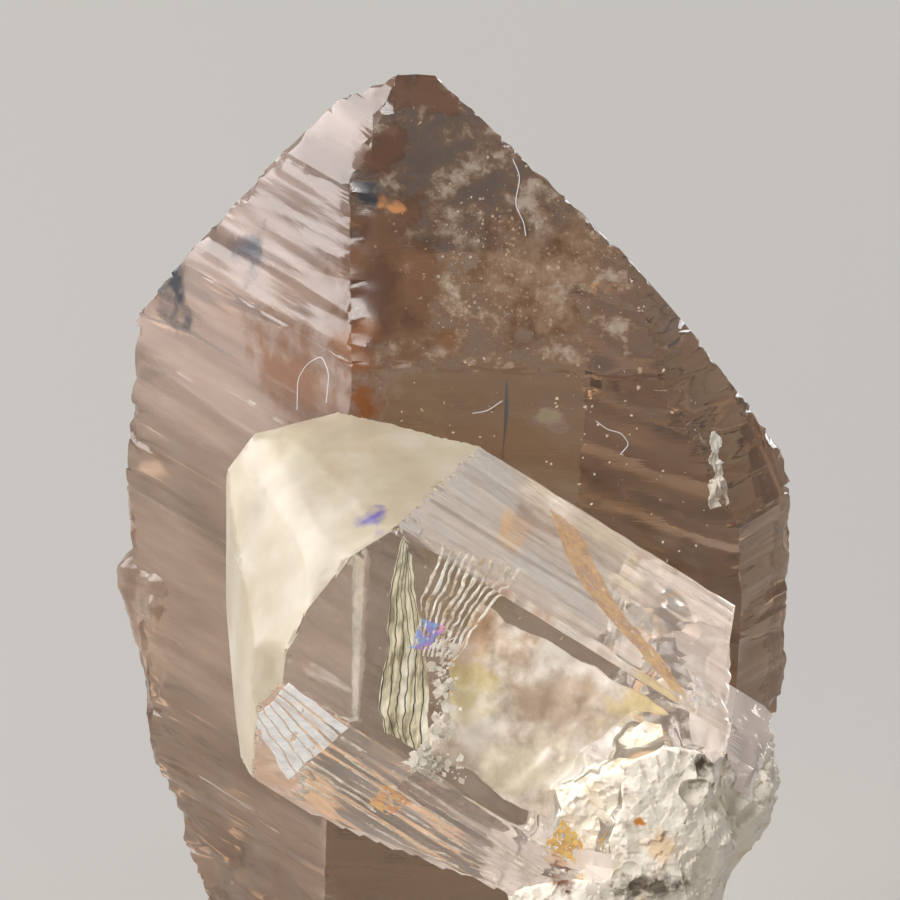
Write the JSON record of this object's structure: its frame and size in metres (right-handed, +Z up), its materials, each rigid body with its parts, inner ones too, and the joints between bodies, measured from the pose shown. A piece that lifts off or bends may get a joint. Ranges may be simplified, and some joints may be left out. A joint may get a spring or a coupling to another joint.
{
  "type": "mineral specimen",
  "caption": "Standing smoky quartz crystal with a stubby clear topaz prism grown across its front and a lump of white feldspar at the topaz's root; rests on its flat broken foot.",
  "frame": {"origin": "middle of the quartz's flat foot, on the quartz's long axis", "axes": "+Z up along the quartz's long axis, -Y towards the viewer of the picture (the side that the topaz is on), +X to the right"},
  "size_m": [0.0237, 0.0263, 0.0347],
  "materials": {
    "smoky_quartz": "natural smoky quartz, see-through brown with iron stains inside, finely ribbed faces and satin patches",
    "topaz": "natural champagne topaz, clear with cracks and veils inside, frosted cream at the free end",
    "feldspar_matrix": "natural white feldspar, sugary and rough, with small pits and yellow-brown iron stains"
  },
  "bodies": {
    "root": {"smoky_quartz": "smoky_quartz", "topaz": "topaz", "feldspar_matrix": "feldspar_matrix"}
  },
  "joints": []
}
